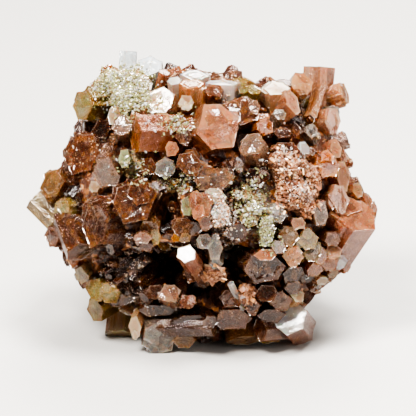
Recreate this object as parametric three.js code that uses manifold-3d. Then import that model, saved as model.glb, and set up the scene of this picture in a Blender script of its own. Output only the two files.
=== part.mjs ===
// Aragonite cluster: stubby six-sided prisms grown together around a lumpy mass, with a hollow in
// its lower front and a flat patch that it rests on.

import * as THREE from 'three';
import { mergeVertices } from 'three/addons/utils/BufferGeometryUtils.js';
import Module from 'manifold-3d';

const wasm = await Module();
wasm.setup();

// Driving dimensions, in mm unless a name says otherwise

const GRID = 0.26; // one step of the layout grid
const LEAN = 18; // degrees that the layout sheet leans back from upright
const CENTRE_X = 205; // grid column through the middle of the cluster
const CENTRE_Y = 203; // grid row through the middle of the cluster
const REACH_X = 172; // grid steps from the middle to the tips at each side
const REACH_Y = 152; // grid steps from the middle to the tips at top and bottom
const REACH_FRONT = 132; // grid steps from the middle to the frontmost tips
const REACH_BACK = 128; // grid steps from the middle to the rearmost tips
const CORE = [150, 126, 111]; // half sizes of the mass that the crystals grow from, in grid steps
const CORE_LOW = 5; // grid steps that the middle of the mass sits below the middle of the cluster
const FAN = 20; // degrees that the front crystals spread outward at the edge of the form
const REST_DEPTH = 32.5; // depth of the resting flat below the middle
const SPIRAL_COUNT = 124; // places tried for the crystals of the sides, back, top and bottom
const SWAY = 9; // degrees that a front crystal may lean off the even spread

// Spiral crystals that sit further in, and their share of the usual distance from the middle.
const SET_IN = new Map([
  [32, 0.94],
  [45, 0.86],
  [52, 0.95],
  [53, 0.88],
  [57, 0.96],
  [59, 0.92],
  [60, 0.97],
  [63, 0.92],
  [64, 0.89],
  [66, 0.88],
  [67, 0.9],
  [73, 0.92],
  [74, 0.9],
  [76, 0.95],
  [77, 0.93],
  [87, 0.92],
]);

// Front crystals. Each row is the middle of the tip face as grid column and row, then its rise above
// the rounded front, the turn to the right and the pitch upward of the axis in degrees, the width
// and height across, the length, and the turn of the six corners in degrees.

const TOP_LEFT = [
  [107, 69, -4, -20, 25, 18, 17, 34, 20],
  [84, 106, 4, -50, 0, 33, 31, 44, 0],
  [128, 51, -6, 70, 84, 20, 20, 48, 8],
  [150, 67, 0, 4, 22, 29, 29, 44, 30],
  [175, 83, -4, -8, 32, 15, 16, 34, 10],
  [124, 127, 2, -10, 8, 24, 26, 44, 20],
  [103, 131, -22, -20, 0, 24, 24, 36, 0],
];

const TOP_MIDDLE = [
  [195, 77, -10, 5, 66, 27, 24, 34, 0],
  [161, 102, 6, -5, 12, 34, 27, 44, 15],
  [193, 86, 2, 4, 56, 26, 24, 36, 10],
  [214, 93, -2, 12, 40, 19, 19, 36, 0],
  [222, 85, -12, 10, 66, 37, 26, 44, 10],
  [137, 136, 4, -76, -5, 42, 42, 56, 2],
  [160, 122, 4, -30, 30, 26, 22, 40, 0],
  [218, 130, 12, 8, -2, 46, 50, 56, 10],
  [240, 113, 5, 14, 9, 37, 34, 50, 25],
  [275, 90, -4, 0, 48, 27, 27, 44, 0],
  [291, 104, 0, 26, 20, 19, 29, 40, 15],
  [251, 146, 12, -14, 14, 25, 29, 44, 0],
  [264, 129, 4, 10, 0, 17, 20, 36, 20],
];

const TOP_RIGHT = [
  [319, 67, -6, 60, 79, 31, 28, 40, 6],
  [300, 84, -2, 4, 12, 27, 26, 42, 0],
  [345, 93, -2, 68, 9, 26, 25, 50, 2],
  [332, 122, -22, 24, -5, 20, 31, 44, 0],
];

const LEFT = [
  [83, 156, -18, -18, 5, 43, 46, 52, 4],
  [54, 184, -14, -24, 5, 36, 31, 50, 12],
  [58, 223, -40, 62, -50, 26, 24, 33, 0],
  [64, 213, -8, -14, -5, 25, 27, 44, 20],
  [108, 174, -2, -8, -16, 29, 34, 52, 0],
  [98, 222, 2, -26, -6, 38, 50, 56, 10],
  [104, 202, -4, -8, 20, 26, 17, 40, 0],
  [79, 202, -24, -20, 0, 20, 22, 34, 0],
];

const MIDDLE = [
  [137, 202, 8, -2, 4, 46, 46, 56, 12],
  [166, 169, 0, 4, -3, 20, 22, 40, 22],
  [191, 165, 4, 0, 0, 26, 27, 44, 10],
  [213, 180, 3, 2, -8, 41, 28, 50, 0],
  [202, 205, 14, -5, 0, 25, 31, 50, 2],
  [214, 198, 9, 14, 18, 26, 18, 44, 0],
  [221, 213, 9, 30, -4, 22, 27, 40, 12],
  [183, 226, 4, -15, 0, 24, 19, 44, 6],
  [187, 252, 16, -4, 20, 20, 20, 66, 20],
  [215, 246, 4, 18, 0, 17, 27, 40, 0],
  [256, 178, -6, 8, 0, 25, 24, 36, 0],
  [265, 231, 5, 10, -9, 17, 33, 40, 0],
  [275, 213, 4, 10, 0, 21, 21, 40, 0],
  [248, 218, 2, 0, 0, 21, 21, 40, 16],
  [236, 231, -4, -5, -24, 27, 20, 40, 5],
];

const RIGHT = [
  [284, 151, 0, 0, 5, 29, 17, 40, 0],
  [325, 166, -4, 15, 5, 29, 29, 46, 8],
  [341, 178, -12, 42, 8, 16, 34, 44, 0],
  [337, 199, 0, 20, 0, 22, 32, 44, 6],
  [356, 190, -14, 24, 14, 16, 17, 40, 14],
  [352, 214, 6, 12, 36, 54, 42, 66, 4],
  [367, 200, -12, 38, 24, 15, 14, 34, 0],
  [373, 208, -10, 55, 8, 13, 15, 34, 12],
  [318, 214, 4, 14, 0, 18, 28, 40, 0],
  [286, 236, 0, 0, -5, 23, 23, 40, 0],
  [305, 239, 4, 5, 0, 24, 23, 40, 20],
  [310, 251, 4, 5, 0, 19, 21, 38, 0],
  [338, 261, -4, 20, 8, 17, 17, 38, 10],
  [328, 262, -2, 5, -10, 20, 20, 36, 18],
];

const LOWER_LEFT = [
  [54, 236, -8, -24, -8, 22, 22, 44, 0],
  [83, 251, 0, 28, -44, 31, 29, 48, 0],
  [84, 275, -14, -20, -14, 18, 21, 36, 10],
  [97, 288, -8, -14, 0, 20, 23, 40, 0],
  [111, 292, -10, -5, 8, 22, 22, 40, 12],
  [96, 309, -4, -24, -5, 20, 27, 42, 0],
  [122, 337, 6, -8, -66, 35, 33, 46, 4],
  [136, 326, 8, 4, -10, 14, 27, 44, 0],
  [160, 338, 10, 8, -12, 33, 35, 46, 18],
  [127, 284, -30, 4, -10, 42, 50, 44, 28],
];

const LOWER_MIDDLE = [
  [156, 290, -16, -10, 24, 20, 16, 40, 0],
  [171, 291, -14, 5, 20, 22, 20, 40, 10],
  [160, 309, -22, 0, -5, 40, 14, 40, 0],
  [184, 338, 2, 5, -18, 25, 24, 40, 0],
  [214, 325, 0, 70, -2, 19, 19, 58, 4],
  [192, 320, -8, 0, 0, 44, 16, 40, 0],
  [231, 297, -10, -10, 8, 25, 19, 40, 0],
  [232, 317, -8, 0, -10, 38, 27, 44, 8],
  [245, 339, -2, 4, -66, 34, 22, 36, 0],
];

const LOWER_RIGHT = [
  [263, 267, 2, 6, -2, 41, 36, 50, 10],
  [291, 256, 5, 8, -5, 22, 20, 40, 4],
  [291, 273, -2, 10, -8, 24, 20, 40, 0],
  [291, 286, -4, 10, -10, 20, 15, 36, 12],
  [331, 273, -12, 28, -14, 13, 13, 34, 0],
  [265, 292, 1, 0, 0, 22, 19, 38, 0],
  [279, 299, 1, 8, -8, 24, 22, 40, 14],
  [270, 314, -4, 5, -5, 28, 16, 38, 0],
  [259, 328, 2, -44, -8, 25, 23, 44, 0],
  [269, 335, 4, -8, -32, 26, 22, 44, 10],
  [289, 316, 6, -25, 39, 36, 36, 48, 14],
];

// Lumps of fine druse and crust: the middle as grid column and row, the rise, then the half sizes.

const LUMPS = [
  [118, 80, -26, 18, 16, 30],
  [136, 78, -24, 16, 18, 30],
  [130, 98, -22, 20, 18, 32],
  [285, 172, -16, 18, 18, 22],
  [290, 195, -14, 20, 18, 22],
  [303, 207, -16, 13, 14, 22],
  [276, 163, -16, 11, 12, 22],
  [308, 183, -20, 12, 20, 22],
  [243, 188, -14, 13, 12, 20],
  [136, 170, -18, 13, 12, 20],
  [180, 128, -10, 12, 12, 20],
  [178, 184, -20, 16, 9, 20],
  [213, 272, -18, 14, 9, 20],
  [246, 292, -18, 10, 12, 20],
];

// Hollows cut into the front: the middle, the rise and the half sizes, then the turn in degrees.

const HOLLOWS = [
  [166, 262, -30, 70, 21, 62, -6],
  [232, 258, -24, 13, 22, 50, 0],
  [186, 310, -22, 30, 6, 40, 0],
  [173, 214, -14, 9, 26, 34, 0],
];

// Small repeatable scatter between -1 and 1

function scatter(index, salt) {
  const wave = Math.sin(index * 12.9898 + salt * 78.233) * 43758.5453;
  return 2 * (wave - Math.floor(wave)) - 1;
}

// How far the rounded front stands out at a grid point, in grid steps

function front(x, y) {
  const across = (x - CENTRE_X) / REACH_X;
  const along = (y - CENTRE_Y) / REACH_Y;
  return REACH_FRONT * Math.sqrt(Math.max(0, 1 - across * across - along * along));
}

function toManifold(geometry) {
  const plain = geometry.clone();
  plain.deleteAttribute('normal');
  plain.deleteAttribute('uv');
  const merged = mergeVertices(plain, 1e-5);
  const vertProperties = new Float32Array(merged.attributes.position.array);
  const triVerts = new Uint32Array(merged.index.array);
  return new wasm.Manifold(new wasm.Mesh({ numProp: 3, vertProperties, triVerts }));
}

function toGeometry(manifold) {
  const mesh = manifold.getMesh();
  const geometry = new THREE.BufferGeometry();
  geometry.setAttribute('position', new THREE.BufferAttribute(mesh.vertProperties, 3));
  geometry.setIndex(new THREE.BufferAttribute(mesh.triVerts, 1));
  const flat = geometry.toNonIndexed();
  flat.computeVertexNormals();
  return flat;
}

// One prism with six uneven corners. The tip face is at the given place, and the body runs back
// from it along the axis.

function prism(index, x, y, z, yaw, pitch, wide, tall, length, turn) {
  const shape = new THREE.Shape();
  for (let k = 0; k < 6; k += 1) {
    const angle = THREE.MathUtils.degToRad(turn + 60 * k + 12 * scatter(index, k));
    const reach = 1 + 0.09 * scatter(index, k + 11);
    const px = 0.5 * wide * reach * Math.cos(angle);
    const py = 0.5 * tall * reach * Math.sin(angle);
    if (k === 0) {
      shape.moveTo(px, py);
    } else {
      shape.lineTo(px, py);
    }
  }
  const body = new THREE.ExtrudeGeometry(shape, { depth: length, bevelEnabled: false });
  body.translate(0, 0, -length);
  body.rotateX(THREE.MathUtils.degToRad(-pitch));
  body.rotateY(THREE.MathUtils.degToRad(yaw));
  body.translate(x - CENTRE_X, CENTRE_Y - y, z);
  return toManifold(body);
}

function frontPrism(row) {
  const [x, y, rise, yaw, pitch, wide, tall, length, turn] = row;
  const fan = Math.abs(yaw) < 40 && Math.abs(pitch) < 40 ? FAN : 0;
  const key = x + 0.7 * y;
  const yawHere = yaw + (fan * (x - CENTRE_X)) / REACH_X + SWAY * scatter(key, 21);
  const pitchHere = pitch + (fan * (CENTRE_Y - y)) / REACH_Y + SWAY * scatter(key, 22);
  return prism(key, x, y, front(x, y) + rise, yawHere, pitchHere, wide, tall, length, turn);
}

// A rounded lump with uneven facets

function lump(index, x, y, z, rx, ry, rz, detail, rough) {
  const coarse = detail === 0;
  const ball = coarse ? new THREE.DodecahedronGeometry(1) : new THREE.IcosahedronGeometry(1, detail);
  const points = ball.attributes.position;
  const spot = new THREE.Vector3();
  for (let k = 0; k < points.count; k += 1) {
    spot.fromBufferAttribute(points, k).normalize();
    const swell = Math.sin(4.1 * spot.x + index) * Math.sin(3.7 * spot.y + 2 * index);
    const bulge = swell * Math.cos(4.5 * spot.z);
    spot.multiplyScalar(1 + rough * bulge);
    points.setXYZ(k, spot.x * rx, spot.y * ry, spot.z * rz);
  }
  ball.translate(x - CENTRE_X, CENTRE_Y - y, z);
  return toManifold(ball);
}

// Crystals of the sides, back, top and bottom, set out along a spiral over the whole form

function spiralPrisms() {
  const made = [];
  for (let k = 0; k < SPIRAL_COUNT; k += 1) {
    const depth = 1 - (2 * (k + 0.5)) / SPIRAL_COUNT;
    const ring = Math.sqrt(1 - depth * depth);
    const angle = k * 2.399963;
    const across = ring * Math.cos(angle);
    const along = ring * Math.sin(angle);
    if (depth > (along > 0.7 ? 0.5 : 0.16)) {
      continue;
    }
    const low = along < -0.62 ? 0.97 : 1;
    const rise = (0.94 + 0.05 * scatter(k, 3)) * low * (SET_IN.get(k) ?? 1);
    const x = CENTRE_X + (REACH_X - 6) * across * rise;
    const y = CENTRE_Y - (REACH_Y - 6) * along * rise;
    const z = (depth > 0 ? REACH_FRONT : REACH_BACK) * depth * rise;
    const yaw = THREE.MathUtils.radToDeg(Math.atan2(across, depth)) + 22 * scatter(k, 5);
    const pitch = THREE.MathUtils.radToDeg(Math.asin(along)) + 20 * scatter(k, 7);
    const size = 42 + 13 * scatter(k, 9);
    const body = size * (1 + 0.12 * scatter(k, 13));
    made.push(prism(k + 400, x, y, z, yaw, pitch, size, body, 46, 30 * scatter(k, 15)));
  }
  return made;
}

const rows = [
  TOP_LEFT,
  TOP_MIDDLE,
  TOP_RIGHT,
  LEFT,
  MIDDLE,
  RIGHT,
  LOWER_LEFT,
  LOWER_MIDDLE,
  LOWER_RIGHT,
].flat();

// The mass with its lumps, then the hollows, then every crystal on it

let mass = lump(1, CENTRE_X, CENTRE_Y + CORE_LOW, 9, CORE[0], CORE[1], CORE[2], 2, 0.05);
for (const [index, [x, y, rise, rx, ry, rz]] of LUMPS.entries()) {
  mass = mass.add(lump(index + 2, x, y, front(x, y) + rise, rx, ry, rz, 0, 0.22));
}

const crystals = rows.map((row) => frontPrism(row));
let solid = wasm.Manifold.union([mass].concat(spiralPrisms()));
for (const [index, [x, y, rise, rx, ry, rz]] of HOLLOWS.entries()) {
  solid = solid.subtract(lump(index + 30, x, y, front(x, y) + rise, rx, ry, rz, 1, 0.08));
}
solid = wasm.Manifold.union([solid].concat(crystals));

// Stand the leaning layout upright, bring it to mm and cut the resting flat

solid = solid.scale(GRID).rotate([90 - LEAN, 0, 0]);
const block = wasm.Manifold.cube([300, 300, 100], true).translate([0, 0, -50 - REST_DEPTH]);
solid = solid.subtract(block);
solid = solid.simplify(0.12);
const bounds = solid.boundingBox();
const middleX = (bounds.min[0] + bounds.max[0]) / 2;
const middleY = (bounds.min[1] + bounds.max[1]) / 2;
solid = solid.translate([-middleX, -middleY, -bounds.min[2]]);

// Slivers that the cuts leave behind are dropped

const whole = solid.decompose().sort((a, b) => b.volume() - a.volume());

const finish = new THREE.MeshStandardMaterial({ color: 0x9c5a3c, roughness: 0.35, metalness: 0 });
const cluster = new THREE.Mesh(toGeometry(whole[0]), finish);
cluster.name = 'aragonite_cluster';

const group = new THREE.Group();
group.name = 'aragonite_cluster_part';
group.add(cluster);

export default group;
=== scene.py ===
"""Aragonite cluster on a pale floor: stubby six-sided prisms grown together round a lumpy mass."""

import logging
import math
import random
from dataclasses import dataclass, field, replace
from enum import Enum
from typing import Dict, List, NamedTuple, Optional, Sequence, Tuple, Union

import bmesh
import bpy
from mathutils import Matrix, Vector, noise
from mathutils.bvhtree import BVHTree


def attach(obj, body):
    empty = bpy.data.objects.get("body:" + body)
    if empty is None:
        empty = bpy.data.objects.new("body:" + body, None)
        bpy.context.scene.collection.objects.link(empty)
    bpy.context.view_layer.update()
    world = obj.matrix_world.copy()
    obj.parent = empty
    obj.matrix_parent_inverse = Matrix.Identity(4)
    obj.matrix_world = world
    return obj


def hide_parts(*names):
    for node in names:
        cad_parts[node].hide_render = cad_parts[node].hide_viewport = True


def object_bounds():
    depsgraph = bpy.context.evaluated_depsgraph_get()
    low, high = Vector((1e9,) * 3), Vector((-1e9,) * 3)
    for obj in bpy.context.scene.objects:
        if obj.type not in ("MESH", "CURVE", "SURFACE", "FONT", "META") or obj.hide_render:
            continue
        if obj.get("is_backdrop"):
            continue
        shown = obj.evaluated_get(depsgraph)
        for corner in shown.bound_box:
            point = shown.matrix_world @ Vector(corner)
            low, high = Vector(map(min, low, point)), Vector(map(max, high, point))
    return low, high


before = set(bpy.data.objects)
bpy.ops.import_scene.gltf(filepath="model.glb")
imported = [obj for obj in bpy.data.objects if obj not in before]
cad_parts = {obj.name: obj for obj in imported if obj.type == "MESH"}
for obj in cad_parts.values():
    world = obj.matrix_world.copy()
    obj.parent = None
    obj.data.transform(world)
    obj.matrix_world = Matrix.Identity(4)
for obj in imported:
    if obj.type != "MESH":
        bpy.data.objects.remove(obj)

log = logging.getLogger("aragonite")

Socket = bpy.types.NodeSocket
Value = Union[bpy.types.NodeSocket, float, Tuple[float, ...]]

NODE = "aragonite_cluster"

# The layout sheet: grid columns run right, rows run down, and depth comes toward the viewer. One
# grid step is GRID metres, and the sheet leans back by LEAN degrees.
GRID = 0.00026
LEAN = 18.0
PICTURE_WIDTH = 416  # grid steps that the camera sees across

# The middle of the cluster on the sheet, and how far its tips reach from there.
CENTRE_X, CENTRE_Y = 205.0, 203.0
REACH_X, REACH_Y = 172.0, 152.0
REACH_FRONT, REACH_BACK = 132.0, 128.0

# The mass that the crystals grow from: its half sizes, and where its middle sits.
CORE = Vector((150.0, 126.0, 111.0))
CORE_FORWARD = 9.0
CORE_LOW = 5.0

# How the crystals spread: degrees outward at the edge of the front, degrees off the even spread,
# and the places along the spiral, some of which sit further in than the rest.
FAN = 20.0
FAN_LIMIT = 40.0
SWAY = 9.0
SPIRAL_COUNT = 124
SPIRAL_TURN = 2.399963
SET_IN = {
    32: 0.94, 45: 0.86, 52: 0.95, 53: 0.88, 57: 0.96, 59: 0.92, 60: 0.97, 63: 0.92,
    64: 0.89, 66: 0.88, 67: 0.9, 73: 0.92, 74: 0.9, 76: 0.95, 77: 0.93, 87: 0.92,
}

# Where the middle of the sheet stands in the part's frame, in metres, and the resting plane.
REST_DEPTH = 0.0325
SHIFT = Vector((0.00069207901, 0.0031653145233, REST_DEPTH))
REST_CUT = 0.00002
REST_GRAIN = 0.00003
NEVER = 1e6  # further than any line goes

TO_WORLD = (
    Matrix.Translation(SHIFT)
    @ Matrix.Rotation(math.radians(90.0 - LEAN), 4, "X")
    @ Matrix.Scale(GRID, 4)
)
TO_SHEET = TO_WORLD.inverted()


def srgb(text: str) -> Tuple[float, float, float]:
    """Turn a six-digit colour code into linear values.

    Args:
        text: the code, such as "8e4526".

    Returns:
        Red, green and blue, linear.
    """
    out = []
    for k in (0, 2, 4):
        value = int(text[k : k + 2], 16) / 255.0
        out.append(value / 12.92 if value <= 0.04045 else ((value + 0.055) / 1.055) ** 2.4)
    return out[0], out[1], out[2]


def scatter(index: float, salt: float) -> float:
    """Give a repeatable value between -1 and 1, one for each salt of an index."""
    wave = math.sin(index * 12.9898 + salt * 78.233) * 43758.5453
    return 2.0 * (wave - math.floor(wave)) - 1.0


def front(x: float, y: float) -> float:
    """Say how far the rounded front stands out at a grid column and row."""
    across, along = (x - CENTRE_X) / REACH_X, (y - CENTRE_Y) / REACH_Y
    return REACH_FRONT * math.sqrt(max(0.0, 1.0 - across * across - along * along))


def drift(rng: random.Random) -> Vector:
    """Draw a random step with no favoured direction."""
    return Vector((rng.gauss(0, 1), rng.gauss(0, 1), rng.gauss(0, 1)))


class Habit(Enum):
    """How a tip face ends."""

    FLAT = "flat"
    DOME = "dome"
    STEP = "step"
    SUNK = "sunk"


@dataclass(frozen=True)
class Palette:
    """Colours of one kind of crystal: its sides, the rim of its tip and the tip's middle."""

    body: str
    rim: str
    middle: str
    clear: bool = False


class Tone(Enum):
    """The kinds of crystal by colour."""

    RUSSET = Palette("64341a", "90552e", "70452d")
    AMBER = Palette("ad4f11", "dd8738", "b86c30")
    CORAL = Palette("a8623e", "d8966f", "ba8060")
    PEACH = Palette("c3804a", "edb481", "d2996e")
    PINK = Palette("b67854", "e3b08d", "c89375")
    LILAC = Palette("7b4e38", "ac7e5f", "8e7260")
    MAUVE = Palette("552714", "804a29", "603c2b")
    BROWN = Palette("361506", "5d2f11", "412514")
    TAN = Palette("8c5a2e", "ba854d", "966f46")
    OLIVE = Palette("8e783a", "be954a", "a79760")
    SAGE = Palette("8a714f", "b89e73", "9e8b72")
    GREEN = Palette("9c9c64", "cfcf9e", "b4b486")
    CREAM = Palette("d3a272", "f6e1c2", "e2c19a")
    HONEY = Palette("bc7527", "eaad5a", "ce9041")
    CLAY = Palette("7c4c34", "b48868", "946650")
    STRAW = Palette("987a42", "d8c084", "b89e64")
    GREY = Palette("796455", "b6a898", "8c837a")
    CLEAR = Palette("c4c5be", "fbfbf8", "e6e6e0", True)
    WHITE = Palette("dccabc", "f6f2ee", "f2ece8")
    # A tone whose tip is painted near white over an orange body: painted highlight, standing in for
    # glare off the tip face.
    BEACON = Palette("b0541c", "f2ead8", "fcf9ee")


class Crystal(NamedTuple):
    """One prism as laid out on the sheet.

    The place is the middle of its tip face, rise is how far that stands above the rounded front,
    yaw and pitch turn its axis right and up, and turn sets its corners.
    """

    x: float
    y: float
    rise: float
    yaw: float
    pitch: float
    wide: float
    tall: float
    length: float
    turn: float
    tone: Tone
    habit: Habit = Habit.FLAT


T, H = Tone, Habit
PALE = (T.CLEAR, T.WHITE, T.BEACON)

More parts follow.
